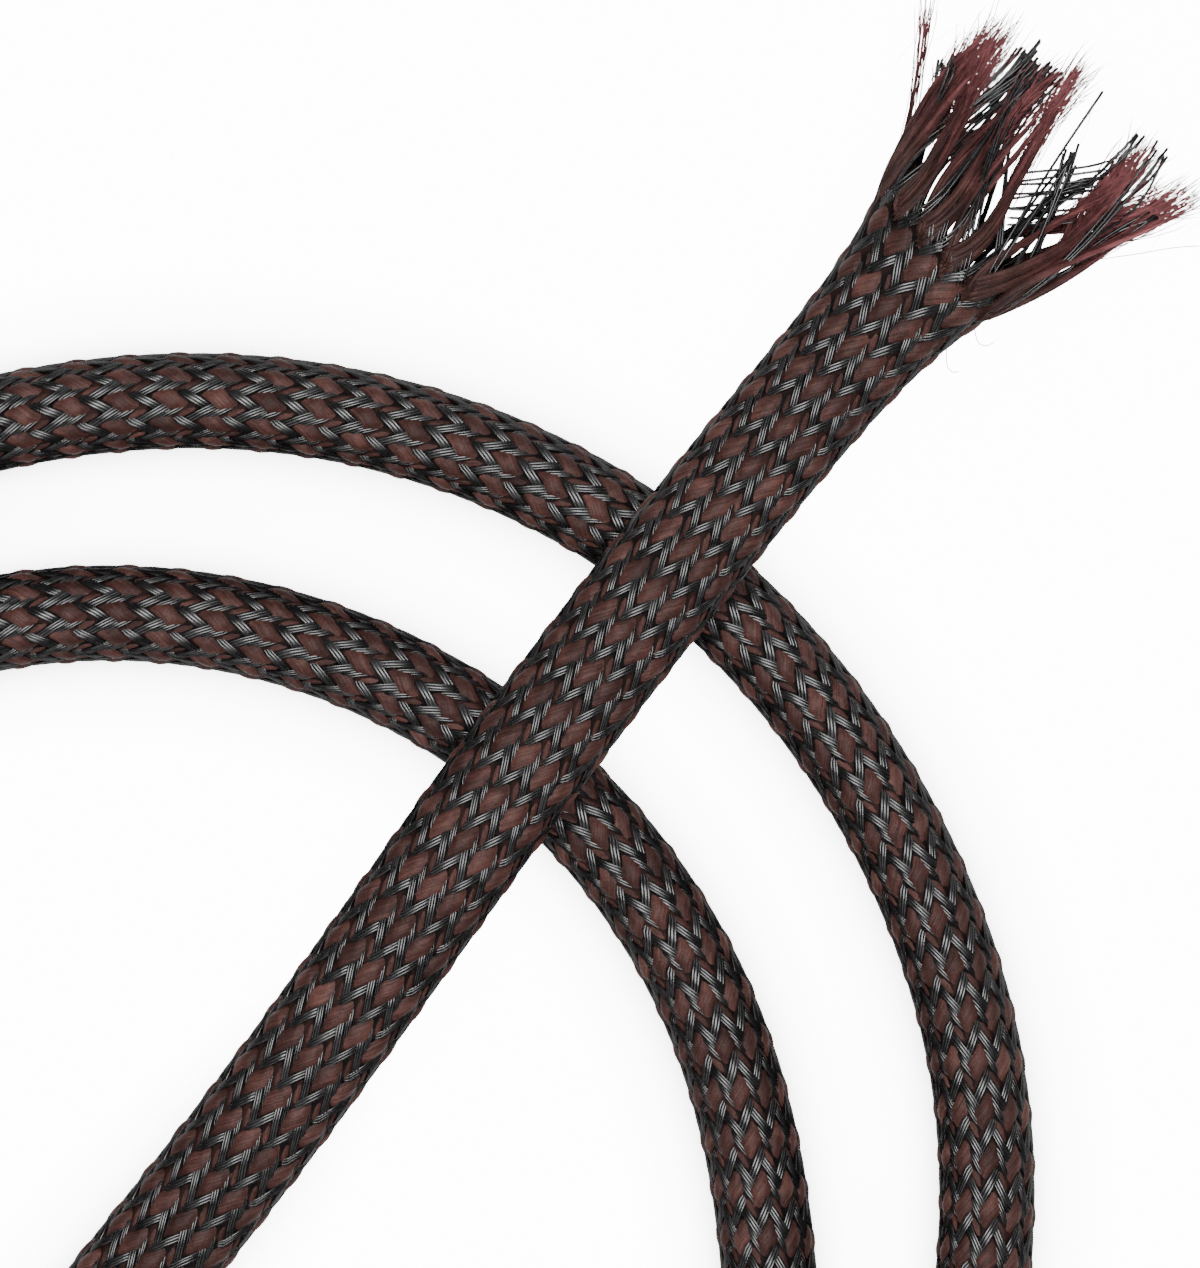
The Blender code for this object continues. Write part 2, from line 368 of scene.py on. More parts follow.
def multifilament(name, group, lines, sheen, loose):
    """Soft yarn of many fine fibres, with lines along it and painted shade towards its edges. Its
    loose tips are redder and paler.
    """
    material, tree, shader, yarn, place, fibres = start_material(name, group, lines)
    specks = noise(tree, place, SPECK_SCALE, 1.0, 0.5)
    amount = weigh(tree, fibres["Line"], 0.72, fibres["Tone"], 0.30)
    amount = sway(tree, amount, noise(tree, place, PATCH_SCALE, 2.0, 0.6), 0.35)
    amount = sway(tree, amount, specks, 0.16)
    # Painted shade: the yarn's colour darkens towards both its edges, so each bundle looks lit at
    # its middle.
    off_middle = maths(tree, "ABSOLUTE", maths(
        tree, "SUBTRACT", maths(tree, "FRACT", yarn[1]), 0.5))
    amount = maths(tree, "SUBTRACT", amount, rescale(tree, off_middle, 0.33, 0.48, 0.0, 0.10))
    stops = (0.36, 0.55, 0.80) if loose else (0.32, 0.50, 0.74)
    colour = blend(tree, amount, tuple(zip(stops, BROWN)))
    if loose:
        paler = maths(tree, "ADD", amount, rescale(tree, yarn[0], 0.9, 1.8, 0.0, 0.26))
        worn = blend(tree, paler, tuple(zip((0.32, 0.50, 0.72), WORN_BROWN)))
        towards_tip = rescale(tree, yarn[0], 0.5, 1.5, 0.0, 1.0)
        mix = add_node(tree, "ShaderNodeMix", {0: towards_tip}, data_type="RGBA")
        tree.links.new(colour, mix.inputs[6])
        tree.links.new(worn, mix.inputs[7])
        colour = mix.outputs[2]
    tree.links.new(colour, shader.inputs["Base Color"])
    tree.links.new(rescale(tree, fibres["Line"], 0.3, 0.7, 0.62, 0.44), shader.inputs["Roughness"])
    relief = maths(tree, "ADD", fibres["Line"], maths(tree, "MULTIPLY", specks, 0.3))
    add_relief(tree, shader, relief, 0.00012, 0.55)
    shader.inputs["Specular IOR Level"].default_value = 0.16
    shader.inputs["Sheen Weight"].default_value = sheen
    shader.inputs["Sheen Roughness"].default_value = 0.4
    shader.inputs["Sheen Tint"].default_value = (1.0, 0.62, 0.52, 1.0)
    return material


def monofilament(name, group, together):
    """Near-black glossy filament. Where three lie together, relief shows the grooves."""
    material, tree, shader, yarn, place, fibres = start_material(name, group, 9.0)
    dust = noise(tree, place, DUST_SCALE, 3.0, 0.6)
    amount = weigh(tree, dust, 0.6, fibres["Tone"], 0.4)
    tree.links.new(blend(tree, amount, BLACK_STOPS), shader.inputs["Base Color"])
    tree.links.new(rescale(tree, dust, 0.35, 0.7, 0.22, 0.36), shader.inputs["Roughness"])
    relief = maths(tree, "MULTIPLY", fibres["Line"], 0.10)
    if together:
        across = maths(tree, "FRACT", yarn[1])
        own = maths(tree, "FRACT", rescale(tree, across, 0.02, 0.98, 0.0, 2.999))
        aside = maths(tree, "SUBTRACT", maths(tree, "MULTIPLY", own, 2.0), 1.0)
        rounded = maths(tree, "SQRT", maths(tree, "MAXIMUM", maths(
            tree, "SUBTRACT", 1.0, maths(tree, "MULTIPLY", aside, aside)), 0.0))
        relief = maths(tree, "ADD", relief, rounded)
    add_relief(tree, shader, relief, 0.00007, 0.8)
    return material


def wall_material(group):
    """The crossing yarns below, darkened with painted shade, that show through the gaps of the
    braid and inside the mouth.
    """
    material, tree, shader, yarn, place, fibres = start_material("yarns_below", group, 40.0)
    rising, falling = (
        maths(tree, "SINE", maths(tree, "MULTIPLY", maths(tree, way, yarn[0], yarn[1]), WHOLE_TURN))
        for way in ("ADD", "SUBTRACT"))
    woven = maths(tree, "MAXIMUM", rising, falling)
    amount = maths(tree, "ADD", rescale(tree, woven, -0.4, 1.0, 0.0, 0.4), maths(
        tree, "MULTIPLY", noise(tree, place, DUST_SCALE), 0.3))
    # Painted shade: the inner side, seen inside the mouth, is painted lighter than the outer side
    # seen through the gaps.
    inside = maths(tree, "GREATER_THAN", yarn[1], INSIDE_SHIFT / 2)
    amount = maths(tree, "ADD", amount, maths(tree, "MULTIPLY", inside, 0.35))
    tree.links.new(blend(tree, amount, PAINTED_SHADE_WALL_STOPS), shader.inputs["Base Color"])
    tree.links.new(rescale(tree, fibres["Line"], 0.3, 0.7, 0.75, 0.55), shader.inputs["Roughness"])
    add_relief(tree, shader, maths(tree, "ADD", woven, fibres["Line"]), 0.0001, 0.6)
    shader.inputs["Specular IOR Level"].default_value = 0.08
    return material


# Nothing lies lower than this, and points nearer than this to each other are one, in metres
LOWEST = 0.00002
SAME_PLACE = 0.0000001

# A yarn's texture coordinate across it goes this far to either side of its middle
HALF_ACROSS = 0.48


def strips_piece(name, strips, material, closed=False):
    """One piece of many long strips.

    A strip is an array of points, by place along it and place across it, with an array of its two
    texture coordinates. Each starts as a plain grid at a level of its own, which says whose it is.
    Closed strips go round a tube, whose seam and ends are joined up.
    """
    bm = bmesh.new()
    uv_layer = bm.loops.layers.uv.new("yarn")
    for number, (points, _) in enumerate(strips):
        bmesh.ops.create_grid(
            bm, x_segments=points.shape[0] - 1, y_segments=points.shape[1] - 1, size=0.5,
            matrix=Matrix.Translation((0.0, 0.0, float(number))))
    mesh = bpy.data.meshes.new(name)
    bm.to_mesh(mesh)
    bm.free()
    flat = np.empty(len(mesh.vertices) * 3)
    mesh.vertices.foreach_get("co", flat)
    flat = flat.reshape(-1, 3)
    placed = np.empty_like(flat)
    texture = np.empty((len(flat), 2))
    owner = np.round(flat[:, 2]).astype(int)
    for number, (points, coordinates) in enumerate(strips):
        mine = np.flatnonzero(owner == number)
        along = np.round((flat[mine, 0] + 0.5) * (points.shape[0] - 1)).astype(int)
        across = np.round((flat[mine, 1] + 0.5) * (points.shape[1] - 1)).astype(int)
        placed[mine] = points[along, across]
        texture[mine] = coordinates[along, across]
    placed[:, 2] = np.maximum(placed[:, 2], LOWEST)
    mesh.vertices.foreach_set("co", placed.ravel())
    corners = np.empty(len(mesh.loops), dtype=np.int32)
    mesh.loops.foreach_get("vertex_index", corners)
    mesh.uv_layers["yarn"].data.foreach_set("uv", texture[corners].astype(np.float32).ravel())
    if closed:
        bm = bmesh.new()
        bm.from_mesh(mesh)
        bmesh.ops.remove_doubles(bm, verts=bm.verts, dist=SAME_PLACE)
        bmesh.ops.recalc_face_normals(bm, faces=bm.faces)
        bm.to_mesh(mesh)
        bm.free()
    mesh.shade_smooth()
    mesh.update()
    piece = bpy.data.objects.new(name, mesh)
    bpy.context.scene.collection.objects.link(piece)
    dress(piece, material)
    return piece


# How high a strand is at places along one column: 1 on top of the braid and -1 below it
BLACK_WAY = ((0.0, 0.24, 0.35, 0.65, 0.76), (1.0, 0.95, -1.0, -1.0, 0.95))
BROWN_WAY = ((0.0, 0.11, 0.20, 0.30, 0.70, 0.80, 0.89), (1.0, 0.97, 0.78, -1.0, -1.0, 0.78, 0.97))
SUNKEN_WAY = ((0.0, 0.15, 0.25, 0.75, 0.85), (1.0, 0.90, -1.0, -1.0, 0.90))
NARROW_WAY = ((0.0, 0.08, 0.19, 0.81, 0.92), (1.0, 0.85, -1.0, -1.0, 0.85))

# The three round filaments of a black strand, and the low dome of a brown bundle, as the heights of
# points evenly spaced across it, in metres
BLACK_PROFILE = np.array((-0.10, 0.07, -0.03, 0.08, -0.03, 0.07, -0.10)) * 0.001
SUNKEN_PROFILE = np.array((-0.08, 0.04, -0.01, 0.045, -0.01, 0.04, -0.08)) * 0.001
BROWN_PROFILE = np.array((-0.08, 0.00, 0.04, 0.05, 0.04, 0.00, -0.08)) * 0.001
NARROW_PROFILE = np.array((-0.08, 0.03, 0.03, -0.08)) * 0.001

# How unevenly the strands lie: where they begin, their widths and their places in rows, and their
# heights in metres
UNEVEN_START = 0.10
UNEVEN_WIDTH = 0.03
UNEVEN_PLACE = 0.008
UNEVEN_HEIGHT = 0.000012

# The least distance between two places along a strand near its ends, and how far a bundle's crown
# reaches along it, in rows
LEAST_STEP = 0.03
CROWN_REACH = 0.30


class Strand:
    """A kind of strand: how it runs, how wide it is and how it lies.

    It rises to the right seen with the mouth up, or falls. Its place is that of its middle in one
    row. Its widths are in rows, on top of the braid and below it, and its spread says how much
    wider and lower than the bare weave each stretch on top is, where a soft bundle bulges. On the
    turns it is that much wider as a whole, and its stretches on top that much lower.
    """

    def __init__(self, rises, place, height, widths, profile, way, crown=0.0, spread=(1.0, 1.0),
                 on_turns=(0.12, 0.0)):
        self.slant = 1 if rises else -1
        self.first = place - RISING_COLUMN if rises else FALLING_COLUMN - place
        self.column = RISING_COLUMN if rises else FALLING_COLUMN
        self.height = height
        self.widths = widths
        self.profile = profile
        self.way = way
        self.crown = crown
        self.spread = spread
        self.on_turns = on_turns


STRANDS = {
    "rising_black": Strand(True, 0.065, 0.00014, (0.36, 0.28), BLACK_PROFILE, BLACK_WAY),
    "rising_brown": Strand(True, 0.565, 0.00008, (0.80, 0.60), BROWN_PROFILE, BROWN_WAY,
                           crown=0.00020, spread=(1.10, 0.88), on_turns=(0.0, -0.17)),
    "falling_black": Strand(False, 0.500, 0.00015, (0.36, 0.28), BLACK_PROFILE, BLACK_WAY),
    "falling_brown": Strand(False, 0.200, -0.00007, (0.30, 0.20), NARROW_PROFILE, NARROW_WAY),
    "falling_black_sunken": Strand(False, -0.160, 0.00003, (0.32, 0.28), SUNKEN_PROFILE,
                                   SUNKEN_WAY),
}


def strand_strips(strand, random):
    """The strips of all the strands of a kind, one for each pair of columns."""
    across = np.linspace(-1.0, 1.0, len(strand.profile))
    places, heights = strand.way
    strips = []
    for number in range(COLUMNS):
        first_row = strand.first + number
        start = -first_row + random.uniform(-UNEVEN_START, UNEVEN_START)
        end = LAST_ROW - first_row
        turns = np.arange(math.floor(start) - 1, math.ceil(end) + 2)
        progress = (turns[:, None] + np.array(places)).ravel()
        progress = progress[(progress > start + LEAST_STEP) & (progress < end - LEAST_STEP)]
        progress = np.concatenate(([start], progress, [end]))
        over = np.interp(progress % 1.0, places + (1.0,), heights + (1.0,))
        nearest = np.round(progress)
        onward = (progress - nearest)[:, None]
        on_top = np.clip(over, 0.0, 1.0)[:, None]

        width = strand.widths[1] + (strand.widths[0] - strand.widths[1]) * (over + 1.0) / 2
        turned = on_turn(np.interp(first_row + nearest, LINE_ROWS, LINE_AT))
        width = width * (1.0 + random.normal(0.0, UNEVEN_WIDTH, len(progress)))
        width = width * (1.0 + strand.on_turns[0] * turned)
        sideways = across[None, :] * width[:, None] / 2
        sideways = sideways + random.normal(0.0, UNEVEN_PLACE, len(progress))[:, None]
        wider = 1.0 + (strand.spread[0] - 1.0) * on_top
        lower = 1.0 + (strand.spread[1] - 1.0 + strand.on_turns[1] * turned[:, None]) * on_top
        rows = np.minimum(first_row + nearest[:, None] + lower * (onward + sideways / 2), LAST_ROW)
        passed = nearest[:, None] + wider * (onward - sideways / 2)
        columns = strand.column - strand.slant * passed

        height = np.where(over > 0.0, over * strand.height, over * UNDER_DEPTH)
        height = height + random.normal(0.0, UNEVEN_HEIGHT, len(progress))
        crown = strand.crown * (1.0 - across[None, :] ** 2)
        crown = crown * np.clip(1.0 - (onward / CROWN_REACH) ** 2, 0.0, 1.0)
        points = on_sleeve(rows, columns, height[:, None] + strand.profile[None, :] + crown)
        steps = np.linalg.norm(np.diff(points[:, len(across) // 2], axis=0), axis=1)
        texture = np.empty(points.shape[:2] + (2,))
        texture[..., 0] = np.concatenate(([0.0], np.cumsum(steps)))[:, None] * 100.0
        texture[..., 1] = number + 0.5 + HALF_ACROSS * across[None, :]
        if strand.slant < 0:
            points, texture = points[:, ::-1], texture[:, ::-1]
        strips.append((points, texture))
    return strips


# The frayed mouth. Places in it are in the picture's pixels, forward of the mouth's middle and to
# its left, with the height in metres. A clump is where its yarn ends come together: its tip, how
# far the ends lie round the tip, and the way that they point.
MOUTH_PLACE = (0.08284, 0.00598)
CLUMPS = {
    "left": ((208, 92, 0.0120), (15, 20), (1.0, 0.05, -0.05)),
    "left_low": ((178, 104, 0.0108), (16, 9), (1.0, 0.12, -0.05)),
    "left_tips": ((160, 108, 0.0125), (8, 8), (0.95, 0.25, 0.0)),
    "wisp": ((190, 168, 0.0120), (8, 5), (0.85, 0.50, 0.0)),
    "high_tips": ((208, 50, 0.0130), (14, 13), (1.0, 0.0, 0.0)),
    "dark": ((202, 30, 0.0132), (15, 13), (0.99, -0.12, 0.0)),
    "tuft": ((230, 4, 0.0132), (10, 10), (1.0, -0.08, 0.0)),
    "lone": ((223, -26, 0.0140), (2, 2), (1.0, 0.15, 0.05)),
    "crossing": ((160, -34, 0.0145), (10, 9), (0.95, 0.30, 0.0)),
    "net": ((152, -76, 0.0128), (34, 10), (0.66, -0.75, 0.0)),
    "right": ((202, -98, 0.0122), (11, 19), (1.0, 0.05, -0.02)),
    "right_tips": ((212, -104, 0.0125), (7, 22), (0.97, 0.10, 0.0)),
    "low_right": ((200, -154, 0.0108), (13, 17), (0.96, -0.27, -0.05)),
    "low_right_tips": ((160, -148, 0.0110), (12, 6), (0.88, -0.47, 0.0)),
    "ribbon": ((128, -126, 0.0095), (4, 4), (0.88, -0.47, 0.0)),
}

# Which clump each strand goes to, by where it reaches the mouth: from its top round by its right
FRAYING = {
    "rising_black": (
        "dark", "net", "net", "low_right_tips", "right_tips", "right_tips", "dark", "high_tips",
        "left_tips", "high_tips", "dark", "high_tips"),
    "falling_black": (
        "dark", "lone", "crossing", "crossing", "net", "dark", "high_tips", "left_tips",
        "left_tips", "high_tips", "dark", "dark"),
    "falling_black_sunken": (
        "dark", "dark", "right_tips", "low_right_tips", "crossing", "dark", "dark", "left_tips",
        "high_tips", "high_tips", "dark", "dark"),
    "rising_brown": (
        "tuft", "right", "right", "ribbon", "low_right", "low_right", "dark", "left_low",
        "left_low", "left", "left", "dark"),
    "falling_brown": (
        "tuft", "right", "low_right", "low_right", "right", "tuft", "left", "left_low",
        "wisp", "left", "dark", "dark"),
}

# The clumps that single long hairs stand out of, and hairs that are laid place by place
HAIRY_CLUMPS = (
    "left", "left_low", "wisp", "tuft", "lone", "net", "right", "low_right", "low_right", "ribbon")
STRAY_HAIRS = (
    ((60, -96, 0.0095), (85, -118, 0.0085), (105, -136, 0.0080), (128, -158, 0.0080),
     (152, -178, 0.0079), (176, -206, 0.0078)),
    ((-26, -64, 0.0100), (-40, -76, 0.0088), (-46, -86, 0.0080), (-42, -94, 0.0078),
     (-32, -97, 0.0077)),
    ((-62, -58, 0.0100), (-76, -68, 0.0088), (-84, -76, 0.0080), (-84, -84, 0.0078),
     (-78, -88, 0.0076)),
    ((150, 30, 0.0150), (170, 18, 0.0152), (190, 22, 0.0150), (214, 12, 0.0148),
     (236, 20, 0.0146)),
)

# The thin black filaments that lie across the fray side by side: where the first begins and ends,
# as above, how much further on and to the left each of the others does, and how unevenly
CROSSING_LINES = 9
CROSSING_FROM = (99, -4, 0.0142, -5.0, -3.2)
CROSSING_TO = (176, -78, 0.0132, -8.0, -1.6)
UNEVEN_CROSSING = 2.5

# Where the loose filaments of a black strand and the cores of a brown bundle leave it, across it
FILAMENTS_ACROSS = (-0.66, 0.0, 0.66)
CORES_ACROSS = {"rising_brown": (-0.8, -0.4, 0.0, 0.4, 0.8), "falling_brown": (-0.5, 0.5)}

# The loose ends, in metres: their thickness, and how far a fibre's tip strays from its bundle's
FILAMENT_RADIUS = 0.000125
CORE_RADIUS = 0.00036
FIBRE_RADIUS = 0.000046
FUZZ_RADIUS = 0.000016
HAIR_RADIUS = 0.000018
STRAY_HAIR_RADIUS = 0.000052
FRIZZ = 0.00088
WISP_FRIZZ = 0.00034
FUZZ_LOWEST = 0.00006

# How many points each kind of loose end has along it, and how many of them there are
FILAMENT_POINTS = 18
CROSSING_POINTS = 14
CORE_POINTS = 15
FIBRE_POINTS = 9
HAIR_POINTS = 14
FUZZ_POINTS = 6
FIBRES_ON_CORE = 15
FIBRES_ON_RIBBON = 3
FUZZ_COUNT = 620
HAIRS_IN_CLUMP = 3


def in_picture(forward, left, height):
    """A point by its place in the picture, from the mouth's middle, and its height."""
    return np.array((MOUTH_PLACE[0] + forward * METRES_PER_PIXEL,
                     MOUTH_PLACE[1] + left * METRES_PER_PIXEL, height))


def read_path(path, at):
    """Reads a path at places counted in its points, between them too."""
    count = np.arange(len(path))
    return np.stack([np.interp(at, count, path[:, axis]) for axis in (0, 1, 2)], axis=1)


def tube_strip(path, radii, sides, number, flatness=1.0, roll=0.0, from_mouth=0.0):
    """A thin tube along a path, as a strip of points round it, drawn in to a point at both ends.

    It is round, or flattened and rolled over.
    """
    radii = np.array(np.broadcast_to(radii, len(path)))
    radii[[0, -1]] = 0.0
    tangents = np.gradient(path, axis=0)
    tangents /= np.linalg.norm(tangents, axis=1, keepdims=True)
    aside = np.cross(tangents, (0.0, 0.0, 1.0))
    aside /= np.maximum(np.linalg.norm(aside, axis=1, keepdims=True), 0.000001)
    upward = np.cross(aside, tangents)
    angle = np.linspace(0.0, 2.0 * math.pi, sides + 1)
    wide = math.cos(roll) * aside + math.sin(roll) * upward
    thin = flatness * (math.cos(roll) * upward - math.sin(roll) * aside)
    points = path[:, None] + radii[:, None, None] * (
        np.cos(angle)[None, :, None] * wide[:, None] + np.sin(angle)[None, :, None] * thin[:, None])
    steps = np.linalg.norm(np.diff(path, axis=0), axis=1)
    texture = np.empty(points.shape[:2] + (2,))
    texture[..., 0] = (np.concatenate(([0.0], np.cumsum(steps)))[:, None] + from_mouth) * 100.0
    texture[..., 1] = number + 0.5 + HALF_ACROSS * np.cos(angle)[None, :]
    return points, texture


def bent_path(start, lead, end, arrival, count):
    """A smooth path that sets out along one direction and arrives along another."""
    t = np.linspace(0.0, 1.0, count)[:, None]
    reach = float(np.linalg.norm(end - start))
    first = start + lead * reach * 0.33
    second = end - arrival * reach * 0.36
    return ((1 - t) ** 3 * start + 3 * t * (1 - t) ** 2 * first + 3 * t * t * (1 - t) * second
            + t ** 3 * end)


def add_waves(path, random, size):
    """Bends a path to and fro a little, more towards its end."""
    t = np.linspace(0.0, 1.0, len(path))[:, None]
    for _ in range(2):
        turns = random.uniform(0.6, 1.9)
        aim = random.normal(0.0, 1.0, 3)
        aim[2] *= 0.5
        wave = np.sin(2.0 * math.pi * turns * t + random.uniform(0.0, 6.28))
        path = path + size * t ** 1.5 * wave * aim
    return path


def clump_end(clump, random, share=1.0):
    """A place for one yarn end in a clump, and the way that it points there."""
    (forward, left, height), (spread_on, spread_aside), arrival = CLUMPS[clump]
    forward += share * random.normal(0.0, 0.6) * spread_on
    left += share * random.normal(0.0, 0.6) * spread_aside
    end = in_picture(forward, left, height + share * random.normal(0.0, 0.0009))
    arrival = np.array(arrival) + random.normal(0.0, 0.06, 3)
    return end, arrival / np.linalg.norm(arrival)


def strand_start(strand, column, across):
    """Where a strand leaves the braid just inside the mouth, and the way that it heads."""
    inside = 0.30
    rows = np.array((inside + 0.30, inside))
    columns = column - strand.slant * rows
    shift = across * strand.widths[0] / 4
    points = on_sleeve(rows + shift, columns + strand.slant * shift, np.array((0.0001, 0.0001)))
    heading = points[1] - points[0]
    return points[1], heading / np.linalg.norm(heading)


def fray_black(strand, column, clump, random, filaments):
    """Adds the three loose filaments of one black strand."""
    group, arrival = clump_end(clump, random)
    for across in FILAMENTS_ACROSS:
        start, lead = strand_start(strand, column, across)
        goal = "crossing" if clump == "lone" and across else clump
        own, _ = clump_end(goal, random, 0.9 if goal in ("net", "crossing") else 0.35)
        middle, _ = clump_end(clump, random, 0.0)
        end = group + (own - middle) + np.array((0.0, across * 0.0003, 0.0))
        path = add_waves(bent_path(start, lead, end, arrival, FILAMENT_POINTS), random, 0.00018)
        path = np.concatenate((path, path[-1:] + arrival * 0.00003))
        filaments.append(tube_strip(path, FILAMENT_RADIUS, 6, len(filaments)))


def fray_brown(strand, cores_across, column, clump, random, cores, fibres):
    """Adds the thin cores that one brown bundle parts into, and the loose fibres on them."""
    group, _ = clump_end(clump, random, 0.8)
    for across in cores_across:
        start, lead = strand_start(strand, column, across)
        own, arrival = clump_end(clump, random, 0.7)
        end = start + (0.5 * group + 0.5 * own - start) * random.uniform(0.86, 1.01)
        path = add_waves(bent_path(start, lead, end, arrival, CORE_POINTS), random, 0.00022)
        bumps = np.linspace(0.0, random.uniform(9.0, 16.0), CORE_POINTS)
        ripple = 1.0 + 0.12 * np.sin(bumps + random.uniform(0.0, 6.0))
        radii = CORE_RADIUS * ripple * (1.0 - 0.94 * np.linspace(0.0, 1.0, CORE_POINTS) ** 2.4)
        frizz = FRIZZ
        if clump == "wisp":
            radii *= 0.55
            frizz = WISP_FRIZZ
        cores.append(tube_strip(path, radii, 8, len(cores), 0.55, random.normal(0.0, 0.5)))
        for _ in range(FIBRES_ON_RIBBON if clump == "ribbon" else FIBRES_ON_CORE):
            leave = random.uniform(4.0, 11.0)
            fibre = read_path(path, np.linspace(leave, CORE_POINTS - 1.0, FIBRE_POINTS))
            t = np.linspace(0.0, 1.0, FIBRE_POINTS)[:, None]
            fibre += random.normal(0.0, 0.00020, 3)
            fibre += arrival * random.uniform(0.0001, 0.0023) * t
            fibre += random.normal(0.0, frizz, 3) * t ** 1.6
            fibre = add_waves(fibre, random, 0.00012)
            fibres.append(tube_strip(
                fibre, FIBRE_RADIUS, 3, len(fibres), from_mouth=0.001 * leave))


def fray_strips(random):
    """The loose yarn ends: black filaments, the cores of brown bundles and their fine fibres."""
    filaments, cores, fibres = [], [], []
    for kind, clumps in FRAYING.items():
        strand = STRANDS[kind]
        for position, clump in enumerate(clumps):
            place = strand.first + RISING_COLUMN
            if strand.slant < 0:
                place = FALLING_COLUMN - strand.first
            column = place % 1.0 + position
            if "black" in kind:
                fray_black(strand, column, clump, random, filaments)
            else:
                fray_brown(strand, CORES_ACROSS[kind], column, clump, random, cores, fibres)
    for number in range(CROSSING_LINES):
        start, end = (
            in_picture(forward + number * on + random.normal(0.0, UNEVEN_CROSSING),
                       left + number * aside + random.normal(0.0, UNEVEN_CROSSING),
                       height + random.normal(0.0, 0.0003))
            for forward, left, height, on, aside in (CROSSING_FROM, CROSSING_TO))
        lead = (end - start) / np.linalg.norm(end - start)
        path = bent_path(start, lead + random.normal(0.0, 0.10, 3), end,
                         lead + random.normal(0.0, 0.12, 3), CROSSING_POINTS)
        filaments.append(tube_strip(path, 0.95 * FILAMENT_RADIUS, 6, len(filaments)))
    return filaments, cores, fibres


def fuzz_strips(random):
    """Single fibres that stand off the braid, and the long stray hairs of the frayed mouth."""
    hairs = []
    for _ in range(FUZZ_COUNT):
        anywhere = random.uniform() < 0.75
        row = random.uniform(0.0, LAST_ROW) if anywhere else 45.0 * random.uniform() ** 1.5
        column = random.uniform(0.0, COLUMNS)
        reach = 0.0002 + 0.0009 * random.uniform() ** 2
        t = np.linspace(0.0, 1.0, FUZZ_POINTS)
        lean = random.normal(0.0, 0.5, 2)
        path = on_sleeve(
            row + lean[0] * t * reach / 0.0022, column + lean[1] * t * reach / 0.0022,
            0.0001 + reach * t * (1.3 - 0.6 * t))
        path = add_waves(path, random, 0.00010)
        path[:, 2] = np.maximum(path[:, 2], FUZZ_LOWEST)
        hairs.append(tube_strip(path, FUZZ_RADIUS, 3, len(hairs)))
    for clump in HAIRY_CLUMPS * HAIRS_IN_CLUMP:
        end, arrival = clump_end(clump, random, 2.2)
        start = end - arrival * random.uniform(0.004, 0.009) + random.normal(0.0, 0.0008, 3)
        path = add_waves(bent_path(start, arrival, end, arrival, HAIR_POINTS), random, 0.00045)
        hairs.append(tube_strip(path, HAIR_RADIUS, 3, len(hairs)))
    for places in STRAY_HAIRS:
        given = np.array([in_picture(*place) for place in places])
        path = read_path(given, np.linspace(0.0, len(given) - 1.0, HAIR_POINTS))
        path[1:-1] = (path[:-2] + path[1:-1] + path[2:]) / 3.0
        hairs.append(tube_strip(path, STRAY_HAIR_RADIUS, 3, len(hairs)))
    return hairs


# The tube below the yarns: its rings along the sleeve and its sides round it, how far below the
# sleeve's outside it is, and how long one row of its weave is
SKIN_RINGS = 301
SKIN_SIDES = 20
SKIN_DEPTH = LAYER_DEPTH + 0.0001
SKIN_ROW = 0.0044


def build_skin(group):
    """The tube below the yarns, dark with painted shade, which shows in the gaps of the braid and
    inside its two ends.
    """
    distances = np.linspace(0.0, CUT_LENGTH, SKIN_RINGS)
    distances = np.concatenate((distances, distances[::-1], distances[:1]))
    inset = np.concatenate((
        np.full(SKIN_RINGS, SKIN_DEPTH), np.full(SKIN_RINGS, WALL), [SKIN_DEPTH]))
    angle = np.linspace(0.0, 2.0 * math.pi, SKIN_SIDES + 1)
    width, height = section_size(distances)
    points = along_line(LINE_POINTS, distances)[:, None, :]
    points = points + along_line(LINE_SIDES, distances)[:, None, :] * (
        (width / 2 - inset)[:, None] * np.cos(angle))[..., None]
    points = points + along_line(LINE_UPS, distances)[:, None, :] * (
        (height / 2 - inset)[:, None] * np.sin(angle))[..., None]
    texture = np.empty(points.shape[:2] + (2,))
    texture[..., 0] = (distances / SKIN_ROW)[:, None]
    texture[..., 1] = (angle / (2.0 * math.pi) * COLUMNS)[None, :]
    texture[SKIN_RINGS + 1:-1, :, 1] += INSIDE_SHIFT
    return strips_piece("sleeve_wall", [(points, texture)], wall_material(group), closed=True)


# Each of these always gives the same uneven braid, fray and fuzz
BRAID_SEED = 7
FRAY_SEED = 11
FUZZ_SEED = 5


def build_braid(group):
    """All the yarns of the braid."""
    random = np.random.default_rng(BRAID_SEED)
    black = monofilament("black_monofilament", group, True)
    brown = multifilament("brown_yarn", group, 16.0, 0.04, False)
    loose_brown = multifilament("loose_brown_yarn", group, 6.0, 0.06, True)
    loose_black = monofilament("loose_filament", group, False)
    pieces = []
    for kind, strand in STRANDS.items():
        strips = strand_strips(strand, random)
        if "black" in kind:
            pieces.append(strips_piece(kind, strips, black))
        else:
            pieces.append(strips_piece(kind + "_first", strips[:COLUMNS // 2], brown))
            pieces.append(strips_piece(kind + "_second", strips[COLUMNS // 2:], brown))
    filaments, cores, fibres = fray_strips(np.random.default_rng(FRAY_SEED))
    fuzz = fuzz_strips(np.random.default_rng(FUZZ_SEED))
    pieces.append(strips_piece("frayed_filaments", filaments, loose_black, closed=True))
    pieces.append(strips_piece("frayed_bundles", cores, loose_brown, closed=True))
    pieces.append(strips_piece("frayed_fibres", fibres, loose_brown, closed=True))
    pieces.append(strips_piece("fuzz", fuzz, loose_brown, closed=True))
    return pieces


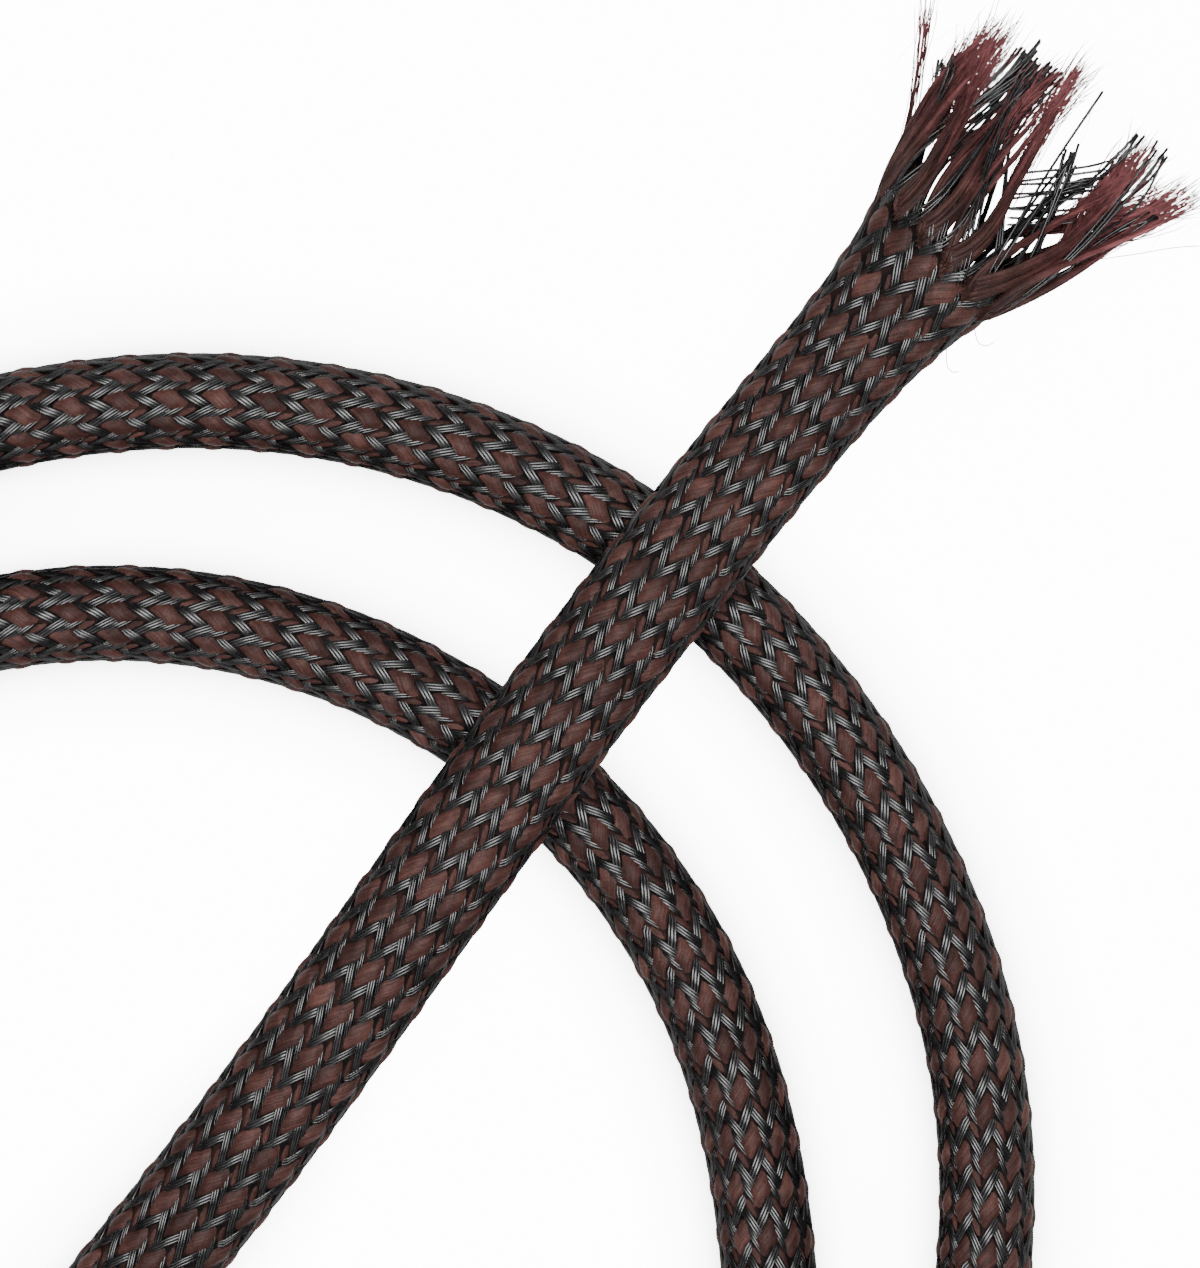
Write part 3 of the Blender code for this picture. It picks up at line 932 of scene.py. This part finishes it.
def build_camera():
    """Looks straight down, turned so that the straight end runs to the upper right."""
    right, upward = TAIL_DIRECTION_IN_PICTURE
    along = Vector((right, -upward, 0.0)).normalized()
    up = Vector((upward, right, 0.0)).normalized()
    data = bpy.data.cameras.new("camera")
    camera = bpy.data.objects.new("camera", data)
    place = Matrix((along, up, Vector((0.0, 0.0, 1.0)))).transposed().to_4x4()
    camera.matrix_world = Matrix.Translation((*VIEW_CENTRE, VIEW_LEVEL + CAMERA_HEIGHT)) @ place
    data.sensor_fit = "VERTICAL"
    data.sensor_height = 24.0
    data.lens = data.sensor_height * CAMERA_HEIGHT / (PICTURE[1] * METRES_PER_PIXEL)
    data.clip_end = 10.0
    bpy.context.scene.collection.objects.link(camera)
    bpy.context.scene.camera = camera


def build_floor():
    """A pale floor, which glows for the camera alone, and less close to the sleeve as a painted
    shadow.
    """
    bm = bmesh.new()
    bmesh.ops.create_grid(bm, x_segments=1, y_segments=1, size=1.5)
    mesh = bpy.data.meshes.new("floor")
    bm.to_mesh(mesh)
    bm.free()
    floor = bpy.data.objects.new("floor", mesh)
    bpy.context.scene.collection.objects.link(floor)
    material = bpy.data.materials.new("pale_floor")
    material.use_nodes = True
    tree = material.node_tree
    shader = tree.nodes["Principled BSDF"]
    shader.inputs["Base Color"].default_value = (0.80, 0.80, 0.80, 1.0)
    shader.inputs["Roughness"].default_value = 0.9
    shader.inputs["Emission Strength"].default_value = FLOOR_GLOW
    # Painted shadow: ambient occlusion dims the floor's glow near the sleeve, standing in for the
    # sleeve's cast shadow.
    openness = add_node(
        tree, "ShaderNodeAmbientOcclusion", {"Distance": SHADOW_REACH}, samples=4).outputs["AO"]
    seen = add_node(tree, "ShaderNodeLightPath").outputs["Is Camera Ray"]
    glow = maths(tree, "MULTIPLY", seen, rescale(tree, openness, 0.35, 0.90, 0.10, 1.0))
    glow = blend(tree, glow, ((0.0, (0.0, 0.0, 0.0)), (1.0, (1.0, 1.0, 1.0))))
    tree.links.new(glow, shader.inputs["Emission Color"])
    floor.data.materials.append(material)


def add_lamp(name, place, size, power):
    """A soft rectangular lamp that shines on the sleeve."""
    data = bpy.data.lights.new(name, "AREA")
    data.shape = "RECTANGLE"
    data.size, data.size_y = size
    data.energy = power
    lamp = bpy.data.objects.new(name, data)
    lamp.location = place
    aim = Vector((*VIEW_CENTRE, 0.0)) - Vector(place)
    lamp.rotation_euler = aim.to_track_quat("-Z", "Y").to_euler()
    bpy.context.scene.collection.objects.link(lamp)


def build_light():
    """A white room, a wide soft lamp overhead and two narrower ones at its sides."""
    world = bpy.data.worlds.new("room")
    bpy.context.scene.world = world
    world.use_nodes = True
    background = world.node_tree.nodes["Background"]
    background.inputs["Strength"].default_value = 0.15
    background.inputs["Color"].default_value = (1.0, 1.0, 1.0, 1.0)
    add_lamp("overhead", (0.04, 0.01, 2.0), (1.1, 1.1), 78.0)
    add_lamp("far", (1.5, 0.35, 1.3), (0.6, 1.0), 8.0)
    add_lamp("near", (-1.4, -0.3, 1.3), (0.6, 1.0), 8.0)


build_camera()
fibre_lines = fibre_lines_group()
wall = build_skin(fibre_lines)
yarns = build_braid(fibre_lines)
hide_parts(CAD_NODE)
build_floor()
build_light()
